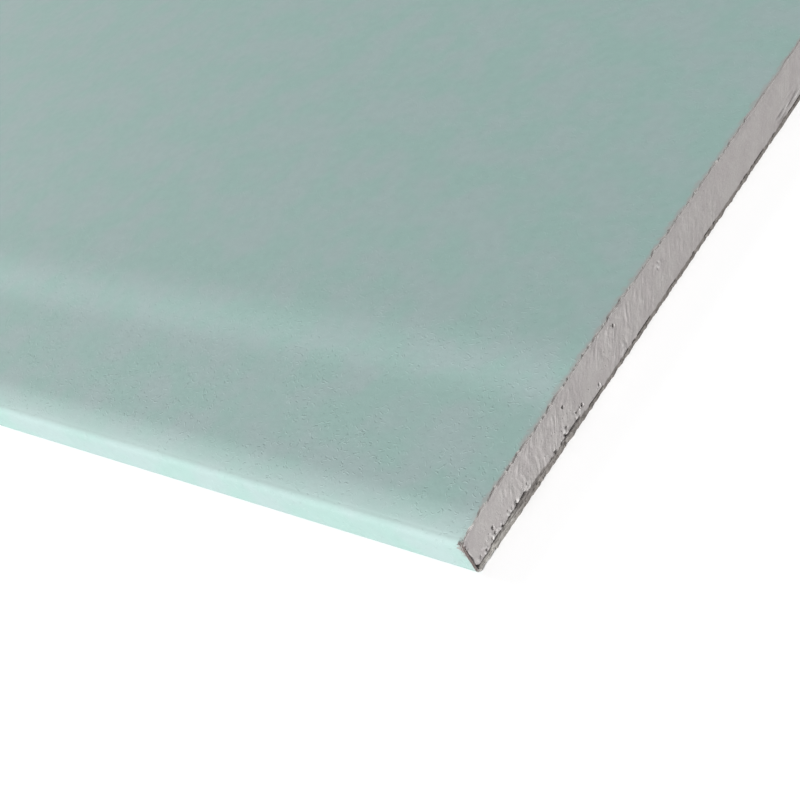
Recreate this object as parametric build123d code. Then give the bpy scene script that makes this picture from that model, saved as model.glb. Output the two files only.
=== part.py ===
from build123d import *
from math import atan2, tan
import os

# Plasterboard sheet, lying face up on the ground.
# X runs along the two paper-wrapped long edges, Y runs from one of them to the other,
# and Z goes up from the back of the sheet, which lies at Z = 0.
# The sheet is a laminate of three pieces that meet face to face:
# a gypsum core, a face paper that wraps the tapered long edges and laps under the core,
# and a back paper that covers the core and most of each lapped flap.

# Overall sizes
sheet_length = 2400.0
sheet_width = 1200.0
sheet_thickness = 12.5

# Papers
face_paper_thickness = 0.6
back_paper_thickness = 0.7
flap_width = 45.0

# The back paper stops short of the long edge. Outside it the flap lies lower, all but level
# with the back, and it steps up under the back paper over a short bend.
back_paper_setback = 7.0
flap_bend_width = 1.2
flap_lift = 0.15

# Tapered long edge, from the edge inwards: a lip that rolls over, a shallow bed for the
# joint compound, and a steeper ramp up to the full thickness. Each falls by its own drop.
lip_width = 5.0
bed_width = 31.0
ramp_width = 16.0
lip_drop = 1.4
bed_drop = 0.7
ramp_drop = 0.8

# Roundings of the long edge. The lip and the ramp are rounded over a share of their width.
edge_top_round = 1.0
edge_bottom_round = 1.5
lip_round_share = 0.65
ramp_round_share = 0.45

# Levels and distances that follow from the sizes above
half_width = sheet_width / 2
ramp_foot_level = sheet_thickness - ramp_drop
lip_level = ramp_foot_level - bed_drop
edge_level = lip_level - lip_drop
ramp_foot_inset = lip_width + bed_width
ramp_top_inset = ramp_foot_inset + ramp_width
flap_bend_inset = back_paper_setback - flap_bend_width

# Slopes of the three stretches of the taper
lip_slope = atan2(lip_drop, lip_width)
bed_slope = atan2(bed_drop, bed_width)
ramp_slope = atan2(ramp_drop, ramp_width)


def radius_over(reach, turn):
    """Radius of an arc that starts the given reach before a corner which turns by that angle."""
    return reach / tan(abs(turn) / 2)


# One long edge from the underside to the face: distance in from the edge, height, rounding
EDGE_CORNERS = [
    (back_paper_setback, back_paper_thickness, 0.0),
    (flap_bend_inset, flap_lift, 0.0),
    (0.0, flap_lift, edge_bottom_round),
    (0.0, edge_level, edge_top_round),
    (lip_width, lip_level, radius_over(lip_round_share * lip_width, lip_slope - bed_slope)),
    (ramp_foot_inset, ramp_foot_level, radius_over(ramp_round_share * ramp_width, ramp_slope - bed_slope)),
    (ramp_top_inset, sheet_thickness, radius_over(ramp_round_share * ramp_width, ramp_slope)),
]


def wrapped_section():
    """Cross-section of everything that the face paper holds, itself included."""
    right_side = [(half_width - inset, level, rounding) for inset, level, rounding in EDGE_CORNERS]
    left_side = [(-across, level, rounding) for across, level, rounding in reversed(right_side)]
    corners = right_side + left_side
    points = [(across, level) for across, level, _ in corners]
    roundings = [rounding for _, _, rounding in corners]
    return make_face(FilletPolyline(*points, radius=roundings, close=True))


def core_section():
    """Core cross-section: it fills the wrap, and reaches the back paper between the flaps."""
    inside_wrap = offset(wrapped_section(), amount=-face_paper_thickness)
    between_flaps = Rectangle(
        sheet_width - 2 * flap_width,
        face_paper_thickness,
        align=(Align.CENTER, Align.MIN),
    )
    return inside_wrap + Pos(0, back_paper_thickness) * between_flaps


def back_paper_section():
    """Back paper cross-section: a flat strip that stops short of both long edges."""
    return Rectangle(
        sheet_width - 2 * back_paper_setback,
        back_paper_thickness,
        align=(Align.CENTER, Align.MIN),
    )


def along_sheet(section):
    """Stretch a cross-section over the whole length, from one cut end to the other."""
    return extrude(Plane.YZ * section, amount=sheet_length / 2, both=True)


gypsum_core = along_sheet(core_section())
face_paper = along_sheet(wrapped_section() - core_section())
back_paper = along_sheet(back_paper_section())

os.makedirs("parts", exist_ok=True)
export_step(gypsum_core, "parts/gypsum_core.step")
export_step(face_paper, "parts/face_paper.step")
export_step(back_paper, "parts/back_paper.step")
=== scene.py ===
"""Dresses a sheet of moisture-resistant plasterboard that lies face up on a pale floor.

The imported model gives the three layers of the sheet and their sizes. This script models each
layer again with the wear that a sawn and handled sheet has, and gives every surface its finish.
Lengths are in metres, X runs along the wrapped long edges and Z goes up out of the green face.
"""

import logging
import math
import random
from collections.abc import Callable
from dataclasses import dataclass, fields
from enum import Enum
from functools import reduce

import bmesh
import bpy
from mathutils import Matrix, Vector, noise

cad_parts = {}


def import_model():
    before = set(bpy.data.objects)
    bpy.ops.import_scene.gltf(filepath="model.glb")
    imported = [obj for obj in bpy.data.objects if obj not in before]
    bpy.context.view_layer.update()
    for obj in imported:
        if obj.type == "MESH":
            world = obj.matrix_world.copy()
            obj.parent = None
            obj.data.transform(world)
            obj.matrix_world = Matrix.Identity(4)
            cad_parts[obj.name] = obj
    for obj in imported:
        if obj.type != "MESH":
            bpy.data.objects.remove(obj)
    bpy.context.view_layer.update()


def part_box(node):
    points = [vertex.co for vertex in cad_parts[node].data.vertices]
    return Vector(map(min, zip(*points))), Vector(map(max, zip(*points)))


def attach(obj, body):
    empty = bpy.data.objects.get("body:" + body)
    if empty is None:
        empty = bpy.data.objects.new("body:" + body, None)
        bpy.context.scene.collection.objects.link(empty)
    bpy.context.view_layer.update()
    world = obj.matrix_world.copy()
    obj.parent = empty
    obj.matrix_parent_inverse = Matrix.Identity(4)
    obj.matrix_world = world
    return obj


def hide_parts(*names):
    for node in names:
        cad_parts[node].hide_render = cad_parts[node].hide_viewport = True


MM = 0.001
ROOT_BODY = "root"
SEEN_REACH = 140 * MM  # how far in from the front edge the sheet is modelled most finely
ROUNDING = 1e-6  # slack against rounding when a stretch is divided
CUT_SLACK = 1e-7  # how near a vertex has to be to count as lying on a cutting plane
SHARP_ANGLE = math.radians(40)  # folds beyond it aren't smoothed

Triple = tuple[float, float, float]
Station = tuple[float, float]

log = logging.getLogger("sheet")


class Slot(Enum):
    """Names of the three material slots of the sheet's layers."""

    GYPSUM = "gypsum"
    GREEN_PAPER = "green_paper"
    GREY_PAPER = "grey_paper"


def held(value: float, low: float = 0.0, high: float = 1.0) -> float:
    """Keep a value between two limits."""
    return min(max(value, low), high)


def smooth_ramp(value: float) -> float:
    """Ease a share of a way: 0 before its start, 1 after its end and a smooth rise between."""
    share = held(value)
    return share * share * (3 - 2 * share)


def blotchy(first: float, second: float, size: float, layer: float) -> float:
    """Smooth noise over two distances, -1 to 1, with blotches of that size, in its own layer."""
    return noise.noise(Vector((first / size, second / size, layer)))


def spaced(start: float, stop: float, step: float) -> list[float]:
    """Divide a stretch evenly, at most a step apart: the places after start up to stop."""
    count = max(1, math.ceil(abs(stop - start) / step - ROUNDING))
    return [start + (stop - start) * number / count for number in range(1, count + 1)]


def soft_corner(past: float, reach: float) -> float:
    """Height gained past a rounded corner where a line starts to rise one in one.

    Args:
        past: distance beyond the corner, negative before it.
        reach: how far before and after the corner the rounding goes.

    Returns:
        The height above the line as it was before the corner.
    """
    if abs(past) < reach:
        return (past + reach) ** 2 / (4 * reach)
    return max(past, 0.0)


@dataclass(frozen=True)
class SheetSizes:
    """Sizes of the sheet: the first ones come from the frame, the others repeat the model's."""

    half_length: float
    half_width: float
    thickness: float
    face_paper: float
    back_paper: float
    setback: float
    flap_lift: float
    flap: float = 45 * MM
    flap_bend: float = 1.2 * MM
    lip_width: float = 5 * MM
    bed_width: float = 31 * MM
    ramp_width: float = 16 * MM
    lip_drop: float = 1.4 * MM
    bed_drop: float = 0.7 * MM
    ramp_drop: float = 0.8 * MM
    lip_reach: float = 4.2 * MM
    ramp_reach: float = 6.0 * MM
    top_round: float = 1.5 * MM
    bottom_round: float = 1.5 * MM

    @classmethod
    def from_frame(cls) -> "SheetSizes":
        """Read the sizes from the boxes of the three CAD nodes.

        Returns:
            The sizes of the whole sheet.
        """
        core_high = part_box("gypsum_core")[1]
        face_low, face_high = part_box("face_paper")
        back_low, back_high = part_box("back_paper")
        return cls(
            half_length=face_high.x,
            half_width=face_high.y,
            thickness=face_high.z,
            face_paper=face_high.z - core_high.z,
            back_paper=back_high.z - back_low.z,
            setback=face_high.y - back_high.y,
            flap_lift=face_low.z,
        )

    def face_level(self, inset: float) -> float:
        """Height of the green face.

        Args:
            inset: distance in from the long edge.

        Returns:
            The height of the outside of the paper above the floor.
        """
        lip = self.lip_drop / self.lip_width
        bed = self.bed_drop / self.bed_width
        ramp = self.ramp_drop / self.ramp_width
        ramp_foot = self.lip_width + self.bed_width
        level = self.thickness - self.ramp_drop - self.bed_drop - self.lip_drop + lip * inset
        level -= (lip - bed) * soft_corner(inset - self.lip_width, self.lip_reach)
        level += (ramp - bed) * soft_corner(inset - ramp_foot, self.ramp_reach)
        return level - ramp * soft_corner(inset - ramp_foot - self.ramp_width, self.ramp_reach)

    def under_level(self, inset: float) -> float:
        """Height of the lapped flap's outside: low at the long edge, on the back paper inside."""
        up = smooth_ramp((inset - self.setback + self.flap_bend) / self.flap_bend)
        return self.flap_lift + (self.back_paper - self.flap_lift) * up


@dataclass
class WrapPath:
    """The outside of the face paper in cross-section, from one flap tip round to the other."""

    sizes: SheetSizes

    def edge_turn(self, steps: int = 7) -> list[Station]:
        """Stations round the long edge, from its underside to the start of the lip.

        Args:
            steps: how many steps each rounding has.

        Returns:
            Pairs of distance in from the edge and height.
        """
        sizes = self.sizes
        angles = [math.pi / 2 * number / steps for number in range(steps + 1)]
        low, high = sizes.bottom_round, sizes.top_round
        turn = [(low * (1 - math.sin(angle)), sizes.flap_lift + low * (1 - math.cos(angle)))
                for angle in angles]
        upright_top = sizes.face_level(high) - high
        turn += [(0.0, level) for level in spaced(turn[-1][1], upright_top, 0.5 * MM)]
        return turn + [(high * (1 - math.cos(angle)), upright_top + high * math.sin(angle))
                       for angle in angles[1:]]

    def half(self, bands: list[tuple[float, float]]) -> list[Station]:
        """Stations from one flap tip over the long edge to the middle of the face.

        Args:
            bands: reach in from the edge and spacing of the stations, for each band in turn.

        Returns:
            Pairs of distance in from the long edge and height.
        """
        sizes = self.sizes
        bend_foot = sizes.setback - sizes.flap_bend
        under = [sizes.flap] + spaced(sizes.flap, sizes.setback, 2 * bands[0][1])
        under += spaced(sizes.setback, bend_foot, 0.3 * MM)
        under += spaced(bend_foot, sizes.bottom_round, 2 * bands[0][1])
        stations = [(inset, sizes.under_level(inset)) for inset in under[:-1]]
        stations += self.edge_turn()
        start = sizes.top_round
        for reach, step in bands:
            stations += [(inset, sizes.face_level(inset)) for inset in spaced(start, reach, step)]
            start = reach
        return stations

    def across_sheet(self) -> list[Station]:
        """Stations over the whole sheet, front edge first.

        Returns:
            Pairs of place across the sheet and height.
        """
        width = self.sizes.half_width
        front = self.half([(60 * MM, 0.4 * MM), (135 * MM, 0.8 * MM), (width, 4 * MM)])
        rear = self.half([(60 * MM, 1.2 * MM), (width, 5 * MM)])
        path = [(inset - width, level) for inset, level in front]
        path += [(width - inset, level) for inset, level in reversed(rear[:-1])]
        return path


def station_columns(half_length: float) -> list[float]:
    """Places along the sheet where a layer has a row of vertices.

    Args:
        half_length: half of the sheet's length.

    Returns:
        The places from left to right, close together at the ends and near the right one.
    """
    cut = [0.0, 0.2, 0.45, 0.8, 1.3, 2.0, 3.5, 6.0]
    right = cut + [10.0 + 6.0 * number for number in range(29)]
    right += [200.0, 250.0, 320.0, 420.0, 560.0, 750.0, 980.0]
    left = cut + [10.0, 16.0, 24.0, 34.0, 46.0, 60.0, 80.0, 105.0, 140.0]
    left += [200.0, 320.0, 520.0, 820.0]
    columns = [offset * MM - half_length for offset in left]
    return columns + [half_length - offset * MM for offset in reversed(right)]


def placed_grid(columns: list, rows: list, place: Callable[..., Vector]) -> bmesh.types.BMesh:
    """Make a grid and lay each of its vertices where a layer needs it.

    Args:
        columns: what each vertex along the grid's first direction stands for.
        rows: what each vertex along its second direction stands for.
        place: gives a vertex its place, from its column's and its row's.

    Returns:
        The mesh, open at its border.
    """
    mesh = bmesh.new()
    most, top = len(columns) - 1, len(rows) - 1
    bmesh.ops.create_grid(mesh, x_segments=most, y_segments=top, size=1.0)
    for vertex in mesh.verts:
        column = columns[round((vertex.co.x + 1) / 2 * most)]
        vertex.co = place(column, rows[round((vertex.co.y + 1) / 2 * top)])
    mesh.normal_update()
    return mesh


def thickened(mesh: bmesh.types.BMesh, thickness: float) -> bmesh.types.BMesh:
    """Give an open paper its thickness, and its torn inside the second material.

    Args:
        mesh: the outside of the paper.
        thickness: how far inwards it goes.

    Returns:
        The same mesh, now closed.
    """
    outside = set(mesh.faces)
    bmesh.ops.solidify(mesh, geom=mesh.faces[:], thickness=thickness)
    for face in mesh.faces:
        face.material_index = 0 if face in outside else 1
    return mesh


def finished_object(name: str, mesh: bmesh.types.BMesh,
                    materials: list[bpy.types.Material]) -> bpy.types.Object:
    """Turn a mesh into a shown piece.

    Args:
        name: the piece's name.
        mesh: its finished geometry, which is freed.
        materials: its finishes, in the order of the faces' material numbers.

    Returns:
        The new object, at the origin.
    """
    data = bpy.data.meshes.new(name)
    for face in mesh.faces:
        face.smooth = True
    mesh.to_mesh(data)
    mesh.free()
    for material in materials:
        data.materials.append(material)
    data.set_sharp_from_angle(angle=SHARP_ANGLE)
    piece = bpy.data.objects.new(name, data)
    bpy.context.scene.collection.objects.link(piece)
    return piece


Output = bpy.types.NodeSocket
Value = float | Output
Colour = tuple[float, float, float, float]
Tint = Colour | Output


class NodeGraph:
    """A material's node tree with short ways to add and join its nodes."""

    def __init__(self, name: str) -> None:
        """Start an empty material.

        Args:
            name: the material's name.
        """
        self.material = bpy.data.materials.new(name)
        self.material.use_nodes = True
        self.tree = self.material.node_tree
        self.tree.nodes.clear()
        self.place = self.add("TexCoord", {}).outputs["Object"]

    def add(self, kind: str, values: dict, **settings: str) -> bpy.types.Node:
        """Add a node and fill its inputs.

        Args:
            kind: the node's type, without the words that all of them start with.
            values: input names or numbers, each with a number, a colour or another node's output.
            settings: the node's own settings.

        Returns:
            The new node.
        """
        node = self.tree.nodes.new("ShaderNode" + kind)
        for name, setting in settings.items():
            setattr(node, name, setting)
        for key, value in values.items():
            if isinstance(value, Output):
                self.tree.links.new(value, node.inputs[key])
            else:
                node.inputs[key].default_value = value
        return node

    def finished(self, values: dict) -> bpy.types.Material:
        """End the tree with a Principled shader.

        Args:
            values: the shader's inputs.

        Returns:
            The whole material.
        """
        shader = self.add("BsdfPrincipled", values)
        self.add("OutputMaterial", {"Surface": shader.outputs["BSDF"]})
        return self.material

    def math(self, way: str, first: Value, second: Value = 0.0, third: Value = 0.0) -> Output:
        """Work out a number from up to three others. The way is in the node's own words."""
        return self.add("Math", {0: first, 1: second, 2: third}, operation=way).outputs["Value"]

    def times(self, first: Value, *others: Value) -> Output:
        """Multiply any number of values."""
        return reduce(lambda product, other: self.math("MULTIPLY", product, other), others, first)

    def total(self, first: Value, *others: Value) -> Output:
        """Add up any number of values."""
        return reduce(lambda running, other: self.math("ADD", running, other), others, first)

    def scaled(self, value: Value, factor: Value, offset: Value) -> Output:
        """Multiply a value and then add to it."""
        return self.math("MULTIPLY_ADD", value, factor, offset)

    def less(self, first: Value, second: Value) -> Output:
        """Take the second value from the first."""
        return self.math("SUBTRACT", first, second)

    def larger(self, first: Value, *others: Value) -> Output:
        """Take the largest of any number of values."""
        return reduce(lambda most, other: self.math("MAXIMUM", most, other), others, first)

    def axes(self, vector: Output | None = None) -> list[Output]:
        """Split a place, or else the object's own places, into X, Y and Z."""
        return list(self.add("SeparateXYZ", {"Vector": vector or self.place}).outputs)

    def inward(self, half: float, axis: int) -> Output:
        """Distance in from the nearer end of an axis, 0 for X and 1 for Y, on a part that long."""
        return self.less(half, self.math("ABSOLUTE", self.axes()[axis]))

    def unwrapped(self) -> Output:
        """Places on the paper as if it lay flat: along the sheet, and round its edge."""
        x, y, z = self.axes()
        return self.add("CombineXYZ", {"X": x, "Y": self.total(y, z)}).outputs["Vector"]

    def stretched(self, scale: Triple, turn: Triple = (0.0, 0.0, 0.0)) -> Output:
        """Turn the object's places by radians, then repeat them so often in each metre."""
        turned = self.add("Mapping", {"Vector": self.place, "Rotation": turn}).outputs["Vector"]
        return self.add("Mapping", {"Vector": turned, "Scale": scale}).outputs["Vector"]

    def noise(self, scale: float, detail: float = 2.0, roughness: float = 0.5,
              at: Output | None = None, bend: float = 0.0) -> Output:
        """Cloudy noise, about 0.5 on average.

        Args:
            scale: blotches for each metre.
            detail: how many finer layers it holds.
            roughness: how strong the finer layers are.
            at: coordinates to read in place of the object's.
            bend: how far the blotches are pulled out of shape.

        Returns:
            The noise's output.
        """
        return self.add("TexNoise", {
            "Vector": at or self.place, "Scale": scale, "Detail": detail,
            "Roughness": roughness, "Distortion": bend,
        }).outputs["Fac"]

    def cells(self, at: Output, count: float, shift: float,
              space: str) -> tuple[Output, bpy.types.Node, list[Output]]:
        """Scattered cells.

        Args:
            at: coordinates in metres.
            count: cells along each metre.
            shift: moves the pattern, so that two of them differ.
            space: 2D or 3D.

        Returns:
            The moved coordinates, the cells' node and three random numbers for each cell.
        """
        step = (shift, 0.37 * shift, 0.71 * shift)
        moved = self.add("VectorMath", {0: at, 1: step}).outputs["Vector"]
        spot = self.add("TexVoronoi", {"Vector": moved, "Scale": count}, voronoi_dimensions=space)
        pick = self.add("SeparateColor", {"Color": spot.outputs["Color"]})
        return moved, spot, list(pick.outputs)

    def strokes(self, at: Output, count: float, length: float, width: float, share: float,
                shift: float = 0.0) -> Output:
        """Short, slightly bent strokes that lie in all directions, such as single fibres.

        Args:
            at: flat coordinates in metres.
            count: places for a stroke along each metre.
            length: half of a stroke's length.
            width: half of its width.
            share: share of the places that hold one.
            shift: moves the pattern, so that two of them differ.

        Returns:
            The strokes' output, 1 on a stroke.
        """
        moved, spot, (heading, curve, chance) = self.cells(at, count, shift, "2D")
        away = self.add("VectorMath", {0: moved, 1: spot.outputs["Position"]}, operation="SUBTRACT")
        turned = self.add("VectorRotate", {
            "Vector": away.outputs["Vector"], "Angle": self.times(heading, 2 * math.pi),
        }, rotation_type="Z_AXIS")
        run, off, _ = self.axes(turned.outputs["Vector"])
        bend = self.scaled(curve, 1.2 / length, -0.6 / length)
        off = self.total(off, self.times(run, run, bend))
        across = self.fade(self.math("ABSOLUTE", off), 0.4 * width, width)
        lengthwise = self.fade(self.math("ABSOLUTE", run), 0.6 * length, length)
        return self.times(across, lengthwise, self.math("LESS_THAN", chance, share))

    def specks(self, at: Output, count: float, radius: float, share: float,
               shift: float = 0.0) -> Output:
        """Scattered round specks.

        Args:
            at: coordinates in metres.
            count: places for a speck along each metre.
            radius: a speck's radius in metres.
            share: share of the places that hold one.
            shift: moves the pattern, so that two of them differ.

        Returns:
            The specks' output, 1 on a speck.
        """
        _, spot, (_, _, chance) = self.cells(at, count, shift, "3D")
        dot = self.fade(spot.outputs["Distance"], 0.5 * radius * count, radius * count)
        return self.times(dot, self.math("LESS_THAN", chance, share))

    def span(self, value: Value, low: float, high: float, start: float = 0.0,
             stop: float = 1.0) -> Output:
        """Stretch the values from low to high smoothly onto start to stop, and hold them there."""
        ends = {"From Min": low, "From Max": high, "To Min": start, "To Max": stop}
        return self.add("MapRange", {"Value": value} | ends,
                        interpolation_type="SMOOTHSTEP").outputs["Result"]

    def fade(self, value: Value, low: float, high: float) -> Output:
        """Fall smoothly from 1 at low to 0 at high."""
        return self.span(value, low, high, 1.0, 0.0)

    def mix(self, share: Value, first: Tint, second: Tint, way: str = "MIX") -> Output:
        """Mix two colours, with that share of the second. The way is in the node's own words."""
        return self.add("Mix", {0: share, 6: first, 7: second}, data_type="RGBA",
                        blend_type=way).outputs[2]

    def layered(self, colour: Tint, *layers: tuple[Value, Tint]) -> Tint:
        """Lay tints over a colour one after another, each with its share."""
        return reduce(lambda under, layer: self.mix(layer[0], under, layer[1]), layers, colour)

    def shaded(self, colour: Tint, shade: Value) -> Output:
        """Multiply a colour by a brightness."""
        grey = self.add("CombineColor", {"Red": shade, "Green": shade, "Blue": shade})
        return self.mix(1.0, colour, grey.outputs["Color"], "MULTIPLY")

    def attribute(self, name: str) -> Output:
        """Read a number that the mesh keeps at each of its vertices."""
        return self.add("Attribute", {}, attribute_name=name).outputs["Fac"]

    def bump(self, height: Value, strength: float, depth: float) -> Output:
        """Turn a height, of which 1 stands for the depth, into a change of the surface's way."""
        return self.add("Bump", {"Strength": strength, "Distance": depth,
                                 "Height": height}).outputs["Normal"]


@dataclass(frozen=True)
class PaperFaceFinish:
    """Matt, fibrous paper as it leaves the mill: cloudy and finely grained, with short fibres. It
    can also carry a painted highlight on the ramp's shoulder and on the lip.
    """

    name: str
    base: Colour
    cloud: Colour
    # also the colour of the painted highlight on the lip
    light_fibre_and_highlight: Colour
    dark_fibre: Colour
    scuff: Colour
    bruise: Colour
    half_length: float
    half_width: float
    # strength of the painted highlights on the shoulder and the lip, and of the bruise
    highlight_and_bruise: float = 0.0
    roughness: float = 0.62
    relief: float = 0.048 * MM

    def material(self) -> bpy.types.Material:
        """Build the finish.

        Returns:
            The new material.
        """
        graph = NodeGraph(self.name)
        flat = graph.unwrapped()
        inset = graph.inward(self.half_width, 1)
        clouds = graph.span(graph.noise(75, detail=3, at=flat), 0.36, 0.64)
        mottle = graph.noise(330, at=flat)
        grain = graph.noise(2300, detail=3, roughness=0.65, at=flat)
        dimple = graph.noise(700, detail=1, at=flat)
        broad = graph.noise(1.0, at=graph.stretched((1.1, 7.0, 1.0)))
        patch = graph.times(graph.span(graph.noise(55, detail=1, at=flat), 0.35, 0.6, 0.4, 1.0),
                            graph.span(inset, 15 * MM, 80 * MM, 0.9, 0.28))
        pale = graph.larger(
            graph.strokes(flat, 560, 0.6 * MM, 0.16 * MM, 0.45, 3.1),
            graph.strokes(flat, 390, 0.9 * MM, 0.18 * MM, 0.30),
            graph.specks(flat, 420, 0.22 * MM, 0.10, 5.9),
        )
        deep = graph.larger(
            graph.strokes(flat, 500, 0.55 * MM, 0.23 * MM, 0.38, 7.7),
            graph.specks(flat, 480, 0.24 * MM, 0.16, 1.3),
        )
        # painted highlights on the ramp's shoulder and on the lip
        shoulder_highlight, lip = self.painted_highlights(graph, inset)
        shade = graph.total(
            graph.scaled(mottle, 0.12, 0.94),
            graph.scaled(grain, 0.06, -0.03),
            graph.scaled(broad, 0.12, -0.06),
            # painted highlight: the ramp's shoulder made lighter
            graph.times(shoulder_highlight, 0.12 * self.highlight_and_bruise),
        )
        colour = graph.layered(
            graph.shaded(graph.mix(clouds, self.base, self.cloud), shade),
            # painted highlight: the lip mixed towards the light fibre colour
            (graph.times(lip, 0.64 * self.highlight_and_bruise), self.light_fibre_and_highlight),
            (graph.times(pale, patch, 0.30), self.light_fibre_and_highlight),
            (graph.times(deep, patch, 0.16), self.dark_fibre),
            (graph.times(self.scuffed(graph), graph.span(inset, 4 * MM, 12 * MM, 0.28, 0.7)),
             self.scuff),
            (graph.times(self.bruised(graph, inset), self.highlight_and_bruise), self.bruise),
        )
        height = graph.total(
            graph.scaled(grain, 0.13, graph.times(mottle, 0.5)),
            graph.times(dimple, patch, 1.2),
            graph.times(graph.less(pale, deep), patch),
        )
        return graph.finished({"Base Color": colour, "Roughness": self.roughness,
                               "Specular IOR Level": 0.5,
                               "Normal": graph.bump(height, 1.0, self.relief)})

    def scuffed(self, graph: NodeGraph) -> Output:
        """Where the cut has lifted the top ply, in a ragged strip along both ends.

        Args:
            graph: the material's nodes.

        Returns:
            The output for the strip, 1 at the cut.
        """
        ragged = graph.scaled(graph.noise(420, 3, 0.65), 3.2 * MM, -1.25 * MM)
        from_end = graph.less(graph.inward(self.half_length, 0), ragged)
        return graph.fade(from_end, -0.1 * MM, 1.2 * MM)

    def bruised(self, graph: NodeGraph, inset: Output) -> Output:
        """Where the saw has crushed the wrapped edge, in dark ragged spots at its cut corners.

        Args:
            graph: the material's nodes.
            inset: distance in from the long edge.

        Returns:
            The output for the spots, strongest in their middle.
        """
        streak = graph.noise(1.0, 3, 0.7, at=graph.stretched((500, 1300, 1300)))
        ragged = graph.scaled(streak, 9.0 * MM, -4.0 * MM)
        spot = graph.fade(graph.less(graph.inward(self.half_length, 0), ragged), 0.0, 0.5 * MM)
        return graph.times(spot, graph.fade(inset, 1.0 * MM, 2.2 * MM),
                           graph.span(graph.axes()[2], 5.0 * MM, 8.5 * MM), 0.85)

    def painted_highlights(self, graph: NodeGraph, inset: Output) -> tuple[Output, Output]:
        """Painted highlight: the paper is painted lighter on the ramp's shoulder and on the lip,
        for the light that their slope catches.

        Args:
            graph: the material's nodes.
            inset: distance in from the long edge.

        Returns:
            The outputs for the top of the ramp and for the lip, 1 where the painted highlight is
            strongest.
        """
        uneven = graph.span(graph.noise(28), 0.3, 0.7, 0.7, 1.0)
        raised = graph.span(graph.axes()[2], 7 * MM, 10 * MM, 0.4, 1.0)
        rolled = graph.span(inset, 0.0, 1.6 * MM, 0.47, 1.0)
        lip = graph.total(graph.span(inset, 1.5 * MM, 12 * MM, 0.62, 0.0),
                          graph.span(inset, 0.8 * MM, 3.2 * MM, 0.38, 0.0))
        shoulder_highlight = (graph.span(inset, 33 * MM, 42 * MM), graph.fade(inset, 42 * MM, 56 * MM))
        return graph.times(*shoulder_highlight, uneven), graph.times(lip, raised, rolled, uneven)


@dataclass(frozen=True)
class PaperCutFinish:
    """Torn end of a paper: grey on the face, brown at the bound edge, darker below away from it,
    with painted shade at the bottom from the flap's tip on.
    """

    name: str
    face: Colour
    bound: Colour
    under: Colour
    inner: Colour
    spot: Colour
    fibre: Colour
    half_width: float
    relief: float = 0.15 * MM

    def material(self) -> bpy.types.Material:
        """Build the finish.

        Returns:
            The new material.
        """
        graph = NodeGraph(self.name)
        plies = graph.noise(1.0, at=graph.stretched((900, 700, 4200)))
        blot = graph.noise(900, roughness=0.6)
        fleck = graph.noise(1700, roughness=0.6)
        level = graph.axes()[2]
        inset = graph.inward(self.half_width, 1)
        upright = graph.times(graph.fade(inset, 0.7 * MM, 1.3 * MM),
                              graph.fade(level, 9.9 * MM, 10.4 * MM),
                              graph.span(level, 0.9 * MM, 1.8 * MM))
        # painted shade: from 36 to 48 mm in from the long edge on, the low part is painted 20 %
        # darker along the sheet's foot
        below = graph.shaded(graph.mix(graph.span(inset, 13 * MM, 19 * MM), self.under, self.inner),
                             graph.span(inset, 36 * MM, 48 * MM, 1.0, 0.80))
        face = graph.mix(graph.span(inset, 4 * MM, 12 * MM, 0.75, 0.0), self.face, self.fibre)
        soft = graph.span(level, 9.5 * MM, 10.2 * MM, 1.0, 0.15)
        colour = graph.layered(
            below,
            (graph.span(level, 1.7 * MM, 2.2 * MM), face),
            (upright, self.bound),
            (graph.times(graph.span(plies, 0.46, 0.66, 0.0, 0.45), soft), self.spot),
            (graph.times(graph.span(blot, 0.60, 0.66, 0.0, 0.85), soft), self.spot),
            (graph.times(graph.span(fleck, 0.60, 0.70, 0.0, 0.6), soft), self.fibre),
        )
        return graph.finished({"Base Color": colour, "Roughness": 0.95, "Specular IOR Level": 0.1,
                               "Normal": graph.bump(graph.total(plies, fleck), 0.8, self.relief)})


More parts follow.
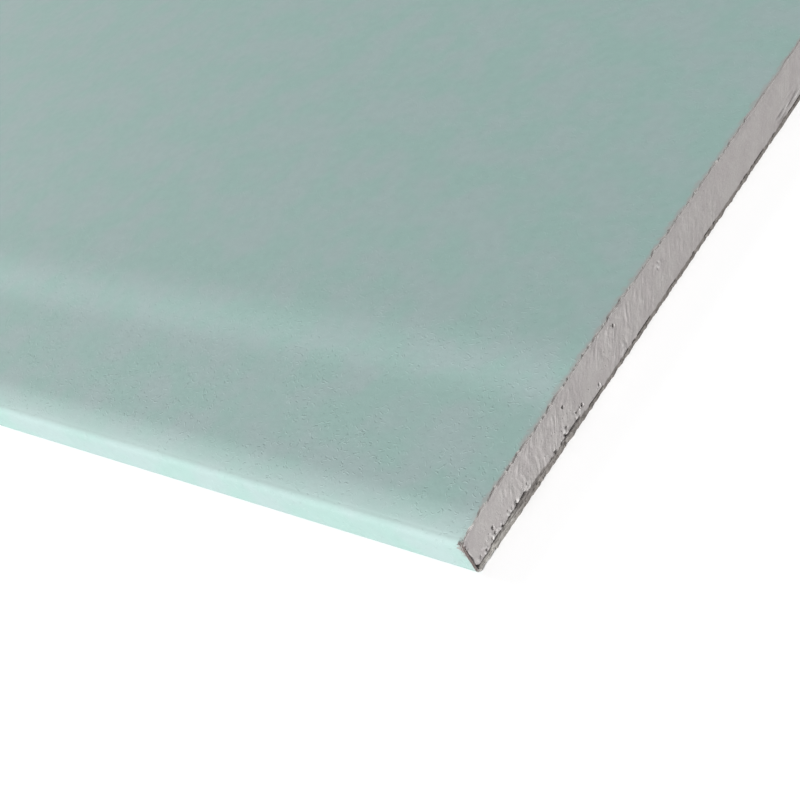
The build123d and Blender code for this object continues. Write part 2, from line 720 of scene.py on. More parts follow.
@dataclass(frozen=True)
class GypsumFinish:
    """Sawn gypsum: chalky, slightly pink, with scratches that lean one way, pores and crumbs. Shade
    is painted into its hollows and along its foot, and light onto the ridges of its scratches.
    """

    name: str
    base: Colour
    cloud: Colour
    pale: Colour
    # near-black colour of the painted shade in pits, gouges, notches, chips, pores and scratch
    # grooves, also used for the skin's dark ply lines
    hollow_shade: Colour
    skin: Colour
    # dark colour of the skin away from the long edge, and of the painted shade along the foot
    far_skin_and_foot_shade: Colour
    lean: float
    half_width: float
    relief: float = 0.20 * MM

    def material(self) -> bpy.types.Material:
        """Build the finish.

        Returns:
            The new material.
        """
        graph = NodeGraph(self.name)
        turn = (self.lean, 0, 0)
        level = graph.axes()[2]
        inset = graph.inward(self.half_width, 1)
        # share of near-black painted shade in the pits, gouges and notches
        hollow_shade = graph.attribute("hollow_shade")
        clouds = graph.noise(190, detail=3)
        grain = graph.noise(2800, detail=3, roughness=0.65)
        drawn = graph.noise(1.0, 2, 0.6, graph.stretched((300, 2300, 260), turn), 0.7)
        wide = graph.noise(1.0, 1, 0.5, graph.stretched((200, 900, 170), turn), 0.6)
        rough = graph.times(graph.attribute("rough"),
                            graph.span(graph.noise(240, detail=1), 0.38, 0.60, 0.2, 1.0))
        pore = graph.specks(graph.place, 700, 0.16 * MM, 0.07)
        low = graph.times(graph.fade(level, 3 * MM, 8.5 * MM),
                          graph.span(inset, 40 * MM, 80 * MM, 1.0, 0.25),
                          graph.span(graph.noise(170, detail=1), 0.44, 0.56))
        crumb = graph.times(graph.specks(graph.place, 1000, 0.24 * MM, 0.42, 2.7), low)
        chip = graph.times(graph.specks(graph.place, 900, 0.20 * MM, 0.20, 8.3), low)
        plies = graph.noise(1.0, at=graph.stretched((700, 600, 3600)))
        skin = graph.layered(self.skin, (graph.span(inset, 13 * MM, 19 * MM), self.far_skin_and_foot_shade),
                             (graph.span(plies, 0.42, 0.62, 0.0, 0.6), self.hollow_shade))
        # foot: painted shade along the bottom of the cut face, where it meets the back paper past
        # the flap
        foot = graph.scaled(graph.noise(800), -0.7 * MM, graph.total(level, 0.35 * MM))
        foot = graph.times(graph.fade(foot, 0.98 * MM, 1.2 * MM),
                           graph.span(inset, 38 * MM, 46 * MM))
        colour = graph.layered(
            graph.mix(graph.span(clouds, 0.35, 0.65), self.base, self.cloud),
            (graph.span(grain, 0.52, 0.72, 0.0, 0.30), self.pale),
            # painted highlight on the ridges and painted shade in the grooves of the saw scratches,
            # which also have their bump
            (graph.times(graph.span(drawn, 0.55, 0.66), rough, 0.50), self.pale),
            (graph.times(graph.span(drawn, 0.44, 0.34), rough, 0.16), self.hollow_shade),
            (graph.attribute("broken"), self.pale),
            (graph.times(crumb, 0.8), self.pale),
            # painted shade in the chips and the pores
            (graph.times(chip, 0.45), self.hollow_shade),
            (graph.times(pore, 0.5), self.hollow_shade),
            (graph.attribute("skin"), skin),
        )
        colour = graph.shaded(colour, graph.times(
            graph.span(inset, 15 * MM, 48 * MM, 1.08, 1.0),
            graph.span(inset, 60 * MM, 100 * MM, 1.0, 0.955),
        ))
        # painted shade along the foot, then near-black painted shade in the pits, gouges and
        # notches
        colour = graph.layered(colour, (foot, self.far_skin_and_foot_shade), (hollow_shade, self.hollow_shade))
        height = graph.total(
            graph.scaled(grain, 0.4, graph.times(drawn, rough, 0.7)),
            graph.times(wide, rough, 0.6),
            graph.times(pore, -0.8),
            graph.less(crumb, chip),
        )
        return graph.finished({"Base Color": colour, "Roughness": 0.95, "Specular IOR Level": 0.15,
                               "Normal": graph.bump(height, 0.9, self.relief)})


@dataclass(frozen=True)
class FibreFinish:
    """Loose paper fibre, matt and a little uneven."""

    name: str
    base: Colour
    other: Colour

    def material(self) -> bpy.types.Material:
        """Build the finish.

        Returns:
            The new material.
        """
        graph = NodeGraph(self.name)
        colour = graph.mix(graph.span(graph.noise(1200, detail=1), 0.4, 0.6), self.base, self.other)
        return graph.finished({"Base Color": colour, "Roughness": 0.9, "Specular IOR Level": 0.2})


@dataclass(frozen=True)
class FloorFinish:
    """Pale, matt studio floor with a barely visible unevenness."""

    name: str = "studio_floor"
    base: Colour = (0.95, 0.95, 0.95, 1.0)
    worn: Colour = (0.93, 0.93, 0.93, 1.0)

    def material(self) -> bpy.types.Material:
        """Build the finish.

        Returns:
            The new material.
        """
        graph = NodeGraph(self.name)
        colour = graph.mix(graph.noise(3), self.base, self.worn)
        return graph.finished({"Base Color": colour, "Roughness": 0.9, "Specular IOR Level": 0.1})


@dataclass
class FacePaper:
    """The green paper: it covers the face, wraps both long edges and laps under the core."""

    sizes: SheetSizes
    edge_wear: float = 0.42 * MM
    wear_reach: float = 3.0 * MM
    cockle: float = 0.035 * MM
    roll: float = 0.24 * MM
    roll_reach: float = 9 * MM

    def wear(self, along: float, across: float, level: float) -> float:
        """How far the cut has torn the paper back from the end of the sheet.

        Args:
            along: place along the sheet.
            across: place across it.
            level: height.

        Returns:
            The distance, from 0 to the full wear.
        """
        layer = 50.0 if along > 0 else 150.0
        coarse = blotchy(across, level, 2.6 * MM, layer)
        fine = blotchy(across, level, 0.75 * MM, layer + 9)
        broad = blotchy(across, level, 5.5 * MM, layer + 20)
        inset = self.sizes.half_width - abs(across)
        flat = smooth_ramp((inset - 8 * MM) / (9 * MM))
        frayed = smooth_ramp((58 * MM - inset) / (20 * MM))
        frayed *= smooth_ramp((level - 8.5 * MM) / (1.5 * MM))
        torn = held(0.40 + 0.5 * coarse + 0.5 * fine + 0.5 * broad * flat)
        return self.edge_wear * (1 + 0.7 * max(frayed, 0.8 * flat)) * torn

    def sunk(self, along: float, across: float, level: float) -> Vector:
        """How the paper wavers inwards from its ideal place, most of all where it rolls over.

        Args:
            along: place along the sheet.
            across: place across it.
            level: height.

        Returns:
            The move inwards.
        """
        sizes = self.sizes
        inset = sizes.half_width - abs(across)
        if level < sizes.bottom_round + sizes.flap_lift:
            return Vector((0, 0, 0))
        side = math.copysign(1.0, across)
        cockle = self.cockle * (0.5 + 0.5 * blotchy(along / 70, across / 50, MM, 0.5))
        wobble = noise.noise(Vector((along / 0.022, side, 3.3)))
        wobble += 0.6 * noise.noise(Vector((along / 0.007, side, 8.1)))
        rolled = self.roll * held(0.5 + 0.6 * wobble)
        rolled *= smooth_ramp(1 - inset / self.roll_reach)
        rolled *= smooth_ramp((level - 6 * MM) / (4 * MM))
        if inset < sizes.top_round and level < sizes.thickness - sizes.ramp_drop:
            return Vector((0, -side * (rolled + cockle), -0.7 * rolled))
        return Vector((0, 0, -cockle - 0.7 * rolled))

    def place(self, along: float, station: Station) -> Vector:
        """Place of one vertex of the paper's outside, with its wear and its waver.

        Args:
            along: place along the sheet.
            station: place across it and height.

        Returns:
            The place that the vertex goes to.
        """
        from_end = self.sizes.half_length - abs(along)
        moved = self.sunk(along, *station)
        if from_end < self.wear_reach:
            torn = self.wear(along, *station) * (1 - from_end / self.wear_reach)
            along -= math.copysign(torn, along)
        return Vector((along, *station)) + moved

    def mesh(self) -> bmesh.types.BMesh:
        """Model the paper as a thick, closed wrap with torn ends.

        Returns:
            The finished geometry.
        """
        sizes = self.sizes
        stations = WrapPath(sizes).across_sheet()
        mesh = placed_grid(station_columns(sizes.half_length), stations, self.place)
        bmesh.ops.recalc_face_normals(mesh, faces=mesh.faces[:])
        top = max(mesh.faces, key=lambda face: face.calc_center_median().z)
        if top.normal.z < 0:
            bmesh.ops.reverse_faces(mesh, faces=mesh.faces[:])
        thickened(mesh, sizes.face_paper)
        for vertex in mesh.verts:
            vertex.co.x = held(vertex.co.x, -sizes.half_length, sizes.half_length)
        return mesh

    def build(self) -> bpy.types.Object:
        """Make the piece with its green face and its torn brown inside.

        Returns:
            The finished piece.
        """
        sizes = self.sizes
        # a strength of 1.0 turns on the painted highlights on the shoulder and the lip, and the
        # bruise
        face = PaperFaceFinish(
            "green_face_paper", base=(0.224, 0.338, 0.312, 1), cloud=(0.251, 0.332, 0.325, 1),
            light_fibre_and_highlight=(0.38, 0.49, 0.47, 1), dark_fibre=(0.12, 0.18, 0.17, 1),
            scuff=(0.27, 0.268, 0.26, 1), bruise=(0.20, 0.175, 0.165, 1),
            half_length=sizes.half_length, half_width=sizes.half_width, highlight_and_bruise=1.0)
        cut = PaperCutFinish(
            "green_paper_cut", face=(0.345, 0.334, 0.323, 1), bound=(0.225, 0.185, 0.175, 1),
            under=(0.48, 0.462, 0.435, 1), inner=(0.29, 0.272, 0.255, 1),
            spot=(0.15, 0.125, 0.12, 1), fibre=(0.50, 0.49, 0.47, 1),
            half_width=sizes.half_width)
        piece = finished_object("green_paper_wrap", self.mesh(), [face.material(), cut.material()])
        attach(piece, ROOT_BODY)
        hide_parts("face_paper")
        return piece


@dataclass(frozen=True)
class SawnPoint:
    """What the saw left at one point of an end."""

    depth: float
    rough: float
    broken: float
    # share of painted shade in pits, gouges and notches
    hollow_shade: float
    skin: float


@dataclass
class GypsumCore:
    """The gypsum core, sawn at both ends of the sheet."""

    sizes: SheetSizes
    rows: int = 43
    recess: float = 0.22 * MM
    rim: float = 0.05 * MM
    notch_depth: float = 2.6 * MM
    side_gap: float = 0.38
    skin: float = 5.0 * MM
    skin_height: float = 0.5 * MM
    past_flap: float = 1.5 * MM
    lean: float = math.radians(32)
    pit_radius: float = 0.38 * MM
    pit_depth: float = 1.3 * MM
    more_pits: int = 60
    seed: int = 7
    marked_pits: tuple[Station, ...] = ((9.0, 4.7), (40.0, 8.0), (45.0, 3.2), (63.0, 9.4))
    crumb_patches: tuple[Triple, ...] = (
        (4.5, 2.6, 1.9), (7.5, 3.2, 2.3), (11.0, 2.6, 1.9), (14.5, 2.6, 1.7), (18.0, 2.5, 1.8),
        (22.0, 2.6, 1.8), (38.0, 2.5, 1.8), (43.0, 3.0, 2.0), (52.0, 2.0, 1.4), (63.0, 2.4, 1.5),
        (83.0, 8.6, 1.7), (1.6, 2.2, 1.2),
    )

    def __post_init__(self) -> None:
        """Scatter more pits over both ends."""
        scatter = random.Random(self.seed)
        edge = self.sizes.half_width
        marked = [(inset * MM - edge, level * MM) for inset, level in self.marked_pits]
        self.pits = {1: marked, -1: []}
        for end, pits in self.pits.items():
            start = (SEEN_REACH if end == 1 else 0.0) - edge
            for _ in range(self.more_pits):
                pits.append((scatter.uniform(start, edge), scatter.uniform(2.5, 10.5) * MM))

    def rounding(self, inset: float, outer: float) -> float:
        """How far a corner of the core is rounded off.

        Args:
            inset: distance in from the long edge.
            outer: radius of the paper round that corner.

        Returns:
            How far the surface has dropped back from the level that it has further in.
        """
        turn = outer - self.sizes.face_paper
        share = min((inset - self.sizes.face_paper) / turn, 1.0)
        return turn * (1 - math.sqrt(max(share * (2 - share), 0.0)))

    def levels(self, inset: float) -> Station:
        """Height of the underside and the top of the core.

        Args:
            inset: distance in from the long edge.

        Returns:
            The two heights.
        """
        sizes = self.sizes
        high = sizes.face_level(max(inset, sizes.top_round)) - sizes.face_paper
        high -= self.rounding(inset, sizes.top_round)
        if inset > sizes.flap:
            return sizes.back_paper, high
        rounding = self.rounding(inset, sizes.bottom_round)
        return sizes.under_level(inset) + sizes.face_paper + rounding, high

    def skin_top(self, inset: float) -> float:
        """Thickness of the paper-like skin under the core.

        Args:
            inset: distance in from the long edge.

        Returns:
            The thickness: it swells once, and thins out towards the flap's tip.
        """
        swell = smooth_ramp((inset - 12 * MM) / (5 * MM))
        swell *= smooth_ramp((30 * MM - inset) / (6 * MM))
        thinned = 1 - 0.8 * smooth_ramp((inset - 27 * MM) / (8 * MM))
        return self.skin_height * (1 + 0.75 * swell) * thinned

    def insets(self) -> list[float]:
        """Places across the sheet where the sawn ends have a column of vertices.

        Returns:
            The places, front edge first.
        """
        sizes = self.sizes
        first = sizes.face_paper
        step_up = [sizes.flap, sizes.flap + 0.02 * MM]
        near, fine, plain = 70 * MM, 0.25 * MM, 2.6 * MM
        turn = [first] + spaced(first, sizes.bottom_round, 0.15 * MM)
        front = turn + spaced(sizes.bottom_round, sizes.flap - 0.1 * MM, fine) + step_up
        front += spaced(step_up[1], near, fine) + spaced(near, SEEN_REACH, 0.36 * MM)
        front += spaced(SEEN_REACH, sizes.half_width, plain)
        rear = turn + spaced(sizes.bottom_round, sizes.flap - 0.1 * MM, 0.8 * MM) + step_up
        rear += spaced(step_up[1], sizes.half_width, plain)
        return [inset - sizes.half_width for inset in front] + [
            sizes.half_width - inset for inset in reversed(rear[:-1])
        ]

    def crumbly(self, inset: float, level: float, end: float) -> float:
        """How much of the gypsum has crumbled round one point.

        Args:
            inset: distance in from the front long edge.
            level: height.
            end: 1 for the right end and -1 for the left one.

        Returns:
            0 where the cut is whole, 1 in the middle of a crumbled patch.
        """
        if end < 0 or inset > SEEN_REACH:
            spread = blotchy(inset, level, 9 * MM, 30.0 + end)
            low = 1 - smooth_ramp((level - 2 * MM) / (4 * MM))
            return smooth_ramp((spread - 0.1) / 0.4) * low
        most = 0.0
        for patch_inset, patch_level, radius in self.crumb_patches:
            away = math.hypot(inset - patch_inset * MM, 1.3 * (level - patch_level * MM))
            most = max(most, smooth_ramp(1.25 - away / (radius * MM)))
        return most

    def sawn(self, across: float, level: float, end: float) -> SawnPoint:
        """Work out what the saw left at one point of an end.

        Args:
            across: place across the sheet.
            level: height.
            end: 1 for the right end and -1 for the left one.

        Returns:
            The depth behind the end of the sheet, the state of the gypsum there, and how much shade
            is painted on it.
        """
        sizes = self.sizes
        layer = 40.0 * end
        from_edge = sizes.half_width - abs(across)
        inset = across + sizes.half_width
        low, high = self.levels(from_edge)
        slow = blotchy(across, level, 9 * MM, layer)
        over = across * math.cos(self.lean) - level * math.sin(self.lean)
        up = across * math.sin(self.lean) + level * math.cos(self.lean)
        bent = over + 1.5 * MM * blotchy(across, level, 5 * MM, layer + 3)
        patch = blotchy(across / 17, level / 13, MM, layer)
        rough = smooth_ramp(0.5 + 2.2 * patch) * smooth_ramp((inset - 12 * MM) / (7 * MM))
        rough *= 1 - 0.55 * smooth_ramp((inset - 55 * MM) / (30 * MM))
        line = blotchy(bent / 0.85, up / 3.8, MM, layer + 7)
        line *= smooth_ramp(0.55 + 1.5 * blotchy(across, level, 3.4 * MM, layer + 5))
        fine = blotchy(across, level, 0.8 * MM, layer + 11)
        flush = smooth_ramp((high - level) / (1.4 * MM))
        depth = self.rim + (self.recess - self.rim) * flush
        depth += 0.05 * MM * slow + 0.15 * MM * rough * line + 0.03 * MM * fine
        crumbly = self.crumbly(inset, level, end)
        lump = blotchy(across, level, 0.85 * MM, layer + 17) + 0.5 * fine
        hole = blotchy(across, level, 0.95 * MM, layer + 23) + 0.4 * fine
        crumb = smooth_ramp(lump / 0.3) * crumbly
        gouge = smooth_ramp((hole - 0.26) / 0.2) * crumbly * (1 - crumb)
        depth += 0.6 * MM * gouge - 0.13 * MM * crumb
        # painted shade in the gouges and pits here, and in the notches below
        hollow_shade = 0.45 * gouge
        for pit_across, pit_level in self.pits[int(end)]:
            away = math.hypot(across - pit_across, level - pit_level)
            if away < 2 * self.pit_radius:
                share = 1 - smooth_ramp(away / self.pit_radius - 0.3)
                depth += self.pit_depth * share
                hollow_shade = max(hollow_shade, share)
        notch = self.notch(across, level, end)
        skin = 0.0
        if from_edge < sizes.flap + self.past_flap:
            above = level - low - self.skin_top(from_edge) - 0.3 * MM * fine
            skin = 1 - smooth_ramp(above / (0.15 * MM))
        return SawnPoint(
            depth=max(depth + self.notch_depth * notch, 0.01 * MM),
            rough=rough,
            broken=0.65 * crumb * (1 - notch) * (1 - hollow_shade),
            hollow_shade=max(hollow_shade, notch),
            skin=skin * (1 - notch),
        )

    def notch(self, across: float, level: float, end: float) -> float:
        """Where the gypsum has broken away from the paper at the cut.

        Args:
            across: place across the sheet.
            level: height.
            end: 1 for the right end and -1 for the left one.

        Returns:
            0 where the gypsum is whole, 1 where it is gone.
        """
        sizes = self.sizes
        soft = 0.2 * MM
        inset = sizes.half_width - abs(across)
        low, high = self.levels(inset)
        ragged = blotchy(across, level, 1.6 * MM, 60.0 + end)
        broad = noise.noise(Vector((across / (7 * MM), 0.2, 70.0 + end)))
        if inset < sizes.flap + self.past_flap:
            swell = math.cos(2 * math.pi * (max(inset, 13 * MM) - 15 * MM) / (24 * MM))
            wanted = 0.35 - 0.45 * smooth_ramp((inset - 20 * MM) / (8 * MM))
            wanted += 0.6 * swell + 0.9 * broad
            foot, height = self.skin_top(inset), (0.30 + 0.25 * ragged) * MM
        else:
            wanted = -0.1 + 1.2 * broad
            foot, height = -MM, (0.20 + 0.15 * ragged) * MM
        under = smooth_ramp(wanted + 0.8 * ragged)
        under *= 1 - smooth_ramp((level - low - max(foot, 0) - height) / soft)
        under *= smooth_ramp((level - low - foot + soft / 2) / soft)
        gap = 1 - smooth_ramp((inset - sizes.face_paper - (0.22 + 0.30 * ragged) * MM) / soft)
        gap *= smooth_ramp((high + soft - level) / MM) * smooth_ramp(0.9 + 1.5 * ragged)
        return max(under, self.side_gap * gap)

    def place(self, across: float, share: float) -> Vector:
        """Place of one vertex of the right end before it is sawn.

        Args:
            across: place across the sheet.
            share: share of the core's height there.

        Returns:
            The place of the vertex.
        """
        low, high = self.levels(self.sizes.half_width - abs(across))
        return Vector((self.sizes.half_length, across, low + (high - low) * share))

    def mesh(self) -> bmesh.types.BMesh:
        """Model the core as a closed bar with two sawn ends.

        Returns:
            The finished geometry.
        """
        sizes = self.sizes
        heights = [row / (self.rows - 1) for row in range(self.rows)]
        mesh = placed_grid(self.insets(), heights, self.place)
        if mesh.faces[:][0].normal.x < 0:
            bmesh.ops.reverse_faces(mesh, faces=mesh.faces[:])
        made = bmesh.ops.extrude_face_region(mesh, geom=mesh.faces[:])
        left_end = [item for item in made["geom"] if isinstance(item, bmesh.types.BMVert)]
        bmesh.ops.translate(mesh, verts=left_end, vec=Vector((-2 * sizes.half_length, 0, 0)))
        for side in (1, -1):
            bmesh.ops.bisect_plane(
                mesh,
                geom=mesh.verts[:] + mesh.edges[:] + mesh.faces[:],
                dist=CUT_SLACK,
                plane_co=Vector((side * (sizes.half_length - self.skin), 0, 0)),
                plane_no=Vector((1, 0, 0)),
            )
        bmesh.ops.recalc_face_normals(mesh, faces=mesh.faces[:])
        marks = [field.name for field in fields(SawnPoint) if field.name != "depth"]
        layers = {name: mesh.verts.layers.float.new(name) for name in marks}
        for vertex in mesh.verts:
            if abs(vertex.co.x) < sizes.half_length - self.skin / 2:
                continue
            side = math.copysign(1.0, vertex.co.x)
            point = self.sawn(vertex.co.y, vertex.co.z, side)
            vertex.co.x -= side * point.depth
            for name, layer in layers.items():
                vertex[layer] = getattr(point, name)
        return mesh

    def build(self) -> bpy.types.Object:
        """Make the piece with its sawn gypsum finish.

        Returns:
            The finished piece.
        """
        # the near-black colour is the painted shade of the hollows
        finish = GypsumFinish(
            "sawn_gypsum", base=(0.432, 0.412, 0.402, 1), cloud=(0.405, 0.380, 0.376, 1),
            pale=(0.56, 0.55, 0.54, 1), hollow_shade=(0.05, 0.043, 0.042, 1),
            skin=(0.36, 0.345, 0.32, 1), far_skin_and_foot_shade=(0.24, 0.222, 0.21, 1),
            lean=self.lean, half_width=self.sizes.half_width)
        piece = finished_object("sawn_gypsum_core", self.mesh(), [finish.material()])
        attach(piece, ROOT_BODY)
        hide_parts("gypsum_core")
        return piece


@dataclass
class BackPaper:
    """The grey-brown paper that covers the back of the core and most of each flap."""

    sizes: SheetSizes
    edge_wear: float = 0.5 * MM
    wear_reach: float = 3.0 * MM

    def place(self, along: float, across: float) -> Vector:
        """Place of one vertex of the paper's underside, with its wear.

        Args:
            along: place along the sheet.
            across: place across it.

        Returns:
            The place that the vertex goes to.
        """
        from_end = self.sizes.half_length - abs(along)
        if from_end < self.wear_reach:
            layer = 250.0 if along > 0 else 350.0
            coarse = blotchy(across, 0, 2.5 * MM, layer)
            fine = blotchy(across, 0, 0.8 * MM, layer + 9)
            torn = self.edge_wear * held(0.4 + 0.6 * coarse + 0.6 * fine)
            along -= math.copysign(torn * (1 - from_end / self.wear_reach), along)
        return Vector((along, across, 0.0))

    def mesh(self) -> bmesh.types.BMesh:
        """Model the paper as a closed flat sheet with torn ends.

        Returns:
            The finished geometry.
        """
        sizes = self.sizes
        edge = sizes.half_width - sizes.setback
        front, rear = 130 * MM - edge, edge - 60 * MM
        rows = [-edge] + spaced(-edge, front, 0.5 * MM)
        rows += spaced(front, rear, 4 * MM) + spaced(rear, edge, 1.2 * MM)
        mesh = placed_grid(station_columns(sizes.half_length), rows, self.place)
        if mesh.faces[:][0].normal.z > 0:
            bmesh.ops.reverse_faces(mesh, faces=mesh.faces[:])
        return thickened(mesh, sizes.back_paper)

    def build(self) -> bpy.types.Object:
        """Make the piece with its unbleached back and its torn edge.

        Returns:
            The finished piece.
        """
        sizes = self.sizes
        plain, brown = (0.39, 0.372, 0.345, 1), (0.17, 0.155, 0.135, 1)
        face = PaperFaceFinish(
            "grey_back_paper", base=(0.33, 0.31, 0.275, 1), cloud=(0.35, 0.335, 0.30, 1),
            light_fibre_and_highlight=(0.46, 0.44, 0.40, 1), dark_fibre=brown, scuff=(0.42, 0.41, 0.38, 1),
            bruise=brown, half_length=sizes.half_length, half_width=sizes.half_width,
            roughness=0.8)
        cut = PaperCutFinish(
            "grey_paper_cut", face=plain, bound=plain, under=plain,
            inner=(0.295, 0.272, 0.252, 1), spot=(0.12, 0.105, 0.095, 1),
            fibre=(0.40, 0.385, 0.36, 1), half_width=sizes.half_width)
        piece = finished_object("grey_paper_back", self.mesh(), [face.material(), cut.material()])
        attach(piece, ROOT_BODY)
        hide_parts("back_paper")
        return piece


@dataclass
class TornFibres:
    """Loose fibres and shreds that stand out of the torn ends of the face paper."""

    sizes: SheetSizes
    along_cut: int = 260
    at_corner: int = 110
    near_share: float = 0.55
    dark_at_cut: float = 0.12
    dark_at_corner: float = 0.8
    rings: int = 3
    seed: int = 11

    def __post_init__(self) -> None:
        """Start the scatter and the straight fibre that all the others copy."""
        self.scatter = random.Random(self.seed)
        self.plane = self.sizes.half_length - 0.12 * MM
        shape = bmesh.new()
        bmesh.ops.create_cone(shape, cap_ends=True, segments=4, radius1=1.0, radius2=0.25,
                              depth=1.0)
        bmesh.ops.translate(shape, verts=shape.verts[:], vec=Vector((0, 0, 0.5)))
        upright = [edge for edge in shape.edges
                   if abs(edge.verts[0].co.z - edge.verts[1].co.z) > 0.5]
        bmesh.ops.subdivide_edges(shape, edges=upright, cuts=self.rings - 1, use_grid_fill=True)
        self.pattern = bpy.data.meshes.new("fibre_pattern")
        shape.to_mesh(self.pattern)
        self.points = len(shape.verts)
        shape.free()

    def add(self, mesh: bmesh.types.BMesh, root: Vector, along: Vector, bend: Vector,
            radius: float, dark: float) -> None:
        """Add one bent, tapering fibre.

        Args:
            mesh: the mesh that it goes into.
            root: where it starts.
            along: its run from root to tip, with its length.
            bend: how far its tip is bent aside.
            radius: its radius at the root.
            dark: how likely it is to be dark.
        """
        first_face = len(mesh.faces)
        mesh.from_mesh(self.pattern)
        mesh.verts.ensure_lookup_table()
        mesh.faces.ensure_lookup_table()
        side = along.orthogonal().normalized()
        other = along.cross(side).normalized()
        sizes = self.sizes
        for vertex in mesh.verts[-self.points:]:
            share = vertex.co.z
            spot = root + along * share + bend * share * share
            spot += (side * vertex.co.x + other * vertex.co.y) * radius
            vertex.co = (held(spot.x, -sizes.half_length, sizes.half_length),
                         held(spot.y, -sizes.half_width, sizes.half_width),
                         held(spot.z, 0.05 * MM, sizes.thickness))
        tone = 1 if self.scatter.random() < dark else 0
        for face in mesh.faces[first_face:]:
            face.material_index = tone

    def drift(self, most: float) -> float:
        """A random distance up to the given one, either way."""
        return self.scatter.uniform(-most, most)

    def fray_cut(self, mesh: bmesh.types.BMesh, end: float) -> None:
        """Scatter fibres along the cut of the face.

        Args:
            mesh: the mesh that they go into.
            end: 1 for the right end and -1 for the left one.
        """
        sizes, draw = self.sizes, self.scatter.uniform
        for number in range(self.along_cut):
            near = number < self.along_cut * self.near_share
            inset = draw(0.8, 130) * MM if near else draw(0.02, 1.18)
            level = sizes.face_level(min(inset, 2 * sizes.half_width - inset)) - draw(0.0, 0.6) * MM
            root = Vector((end * self.plane, inset - sizes.half_width, level))
            length = draw(0.3, 1.1) * MM
            along = Vector((end * 0.02 * MM, self.drift(length),
                            -0.55 * length * self.scatter.random()))
            bend = Vector((0, self.drift(0.2 * MM), -draw(0.0, 0.3) * MM))
            self.add(mesh, root, along, bend, draw(0.035, 0.085) * MM, self.dark_at_cut)

    def fray_corner(self, mesh: bmesh.types.BMesh, end: float, side: float) -> None:
        """Scatter fibres at one outer corner.

        Args:
            mesh: the mesh that they go into.
            end: 1 for the right end and -1 for the left one.
            side: -1 for the front long edge and 1 for the rear one.
        """
        sizes, draw, heaped = self.sizes, self.scatter.uniform, self.scatter.triangular
        for _ in range(self.at_corner):
            inset = draw(0.05, 1.3) * MM
            level = sizes.face_level(sizes.top_round) - heaped(-0.2, 4.2, 0.3) * MM
            root = Vector((end * (self.plane - heaped(0.0, 1.2, 0.0) * MM),
                           side * (sizes.half_width - inset), level))
            length = draw(0.3, 1.0) * MM
            along = Vector((-end * draw(0.0, 0.5) * length, side * draw(-0.5, 0.9) * length,
                            self.drift(length)))
            bend = Vector((0, self.drift(0.25 * MM), self.drift(0.25 * MM)))
            self.add(mesh, root, along, bend, draw(0.05, 0.12) * MM, self.dark_at_corner)

    def mesh(self) -> bmesh.types.BMesh:
        """Scatter the fibres along the cut of the face and at the outer corners.

        Returns:
            The finished geometry.
        """
        mesh = bmesh.new()
        for end in (1.0, -1.0):
            self.fray_cut(mesh, end)
            for side in (-1.0, 1.0):
                self.fray_corner(mesh, end, side)
        return mesh

    def build(self) -> bpy.types.Object:
        """Make the piece with its pale and its dark fibres.

        Returns:
            The finished piece.
        """
        pale = FibreFinish("pale_fibre", (0.40, 0.42, 0.40, 1), (0.50, 0.50, 0.48, 1))
        dark = FibreFinish("dark_fibre", (0.17, 0.145, 0.14, 1), (0.24, 0.21, 0.20, 1))
        finishes = [pale.material(), dark.material()]
        piece = finished_object("torn_paper_fibres", self.mesh(), finishes)
        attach(piece, ROOT_BODY)
        return piece


@dataclass(frozen=True)
class SoftLamp:
    """A far, broad lamp: where it stands, seen from above and in height, and how strong it is."""

    name: str
    azimuth: float
    elevation: float
    strength: float
    spread: float

    def build(self) -> None:
        """Hang the lamp. Azimuth 0 is in front of the wrapped edge, 90 beyond the right end."""
        lamp = bpy.data.lights.new(self.name, "SUN")
        lamp.energy = self.strength
        lamp.angle = math.radians(self.spread)
        hung = bpy.data.objects.new(self.name, lamp)
        bpy.context.scene.collection.objects.link(hung)
        turn = Matrix.Rotation(math.radians(self.azimuth), 4, "Z")
        hung.matrix_world = turn @ Matrix.Rotation(math.radians(90 - self.elevation), 4, "X")


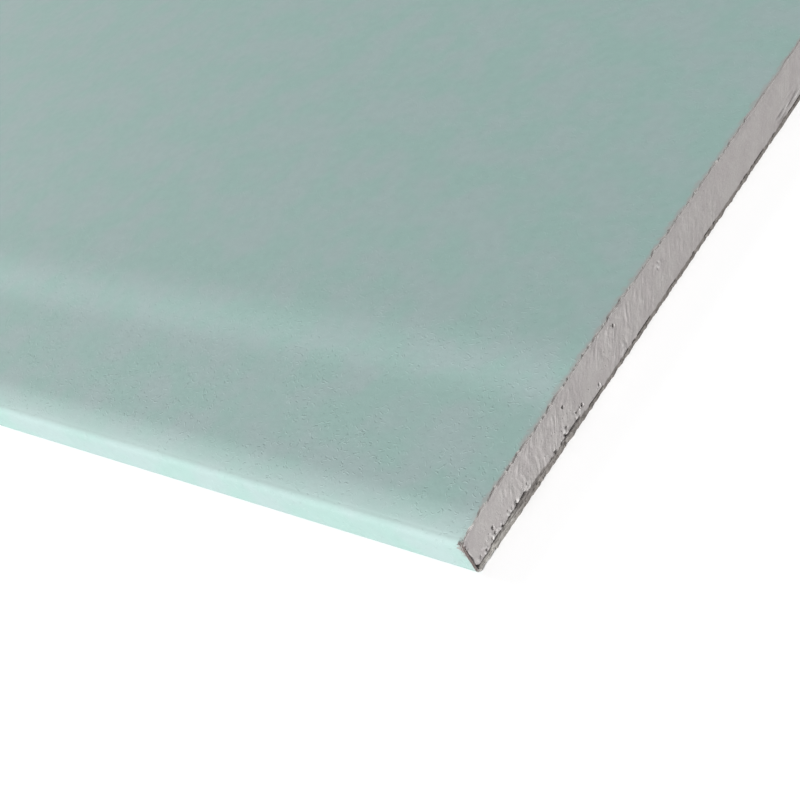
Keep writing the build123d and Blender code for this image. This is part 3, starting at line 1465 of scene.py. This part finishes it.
@dataclass
class Studio:
    """Floor, light and camera round the sheet."""

    sizes: SheetSizes
    floor_half: float = 150.0
    camera_from_corner: Triple = (187.661 * MM, -111.992 * MM, 218.703 * MM)
    camera_azimuth: float = 57.80
    camera_elevation: float = 37.79
    camera_roll: float = -31.97
    lens: float = 67.72
    sky: float = 0.38
    lamps: tuple[SoftLamp, ...] = (
        SoftLamp("key_lamp", azimuth=12.0, elevation=25.0, strength=4.97, spread=22.0),
        SoftLamp("sheen_lamp", azimuth=-100.0, elevation=30.0, strength=0.90, spread=34.0),
    )

    def floor(self) -> None:
        """Lay the pale floor under the sheet."""
        mesh = bmesh.new()
        bmesh.ops.create_grid(mesh, x_segments=4, y_segments=4, size=self.floor_half)
        piece = finished_object("studio_floor", mesh, [FloorFinish().material()])

    def light(self) -> None:
        """Light the sheet with the soft lamps and an even, pale sky."""
        for lamp in self.lamps:
            lamp.build()
        world = bpy.data.worlds.new("studio_sky")
        world.use_nodes = True
        background = world.node_tree.nodes["Background"]
        background.inputs["Color"].default_value = (1.0, 1.0, 1.0, 1.0)
        rays = world.node_tree.nodes.new("ShaderNodeLightPath")
        seen = world.node_tree.nodes.new("ShaderNodeMapRange")
        seen.inputs["To Min"].default_value = self.sky
        seen.inputs["To Max"].default_value = 1.0
        world.node_tree.links.new(rays.outputs["Is Camera Ray"], seen.inputs["Value"])
        world.node_tree.links.new(seen.outputs["Result"], background.inputs["Strength"])
        bpy.context.scene.world = world
        bpy.context.scene.view_settings.view_transform = "Standard"

    def camera(self) -> None:
        """Look at the corner from where the photograph was taken."""
        data = bpy.data.cameras.new("camera")
        data.sensor_width = 36.0
        data.lens = self.lens
        data.clip_start = 0.01
        data.clip_end = 100.0
        camera = bpy.data.objects.new("camera", data)
        bpy.context.scene.collection.objects.link(camera)
        corner = Vector((self.sizes.half_length, -self.sizes.half_width, 0))
        place = Matrix.Translation(corner + Vector(self.camera_from_corner))
        heading = Matrix.Rotation(math.radians(self.camera_azimuth), 4, "Z")
        pitch = Matrix.Rotation(math.radians(90 - self.camera_elevation), 4, "X")
        roll = Matrix.Rotation(math.radians(self.camera_roll), 4, "Z")
        camera.matrix_world = place @ heading @ pitch @ roll
        bpy.context.scene.camera = camera

    def build(self) -> None:
        """Set up the floor, the light and the camera."""
        self.floor()
        self.light()
        self.camera()


def main() -> None:
    """Build the sheet layer by layer, then the studio round it."""
    logging.basicConfig(level=logging.INFO, format="%(message)s")
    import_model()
    sizes = SheetSizes.from_frame()
    for layer in (GypsumCore(sizes), FacePaper(sizes), BackPaper(sizes), TornFibres(sizes)):
        piece = layer.build()
        triangles = sum(len(face.vertices) - 2 for face in piece.data.polygons)
        log.info("%s: %d triangles", piece.name, triangles)
    Studio(sizes).build()


if __name__ == "__main__":
    main()
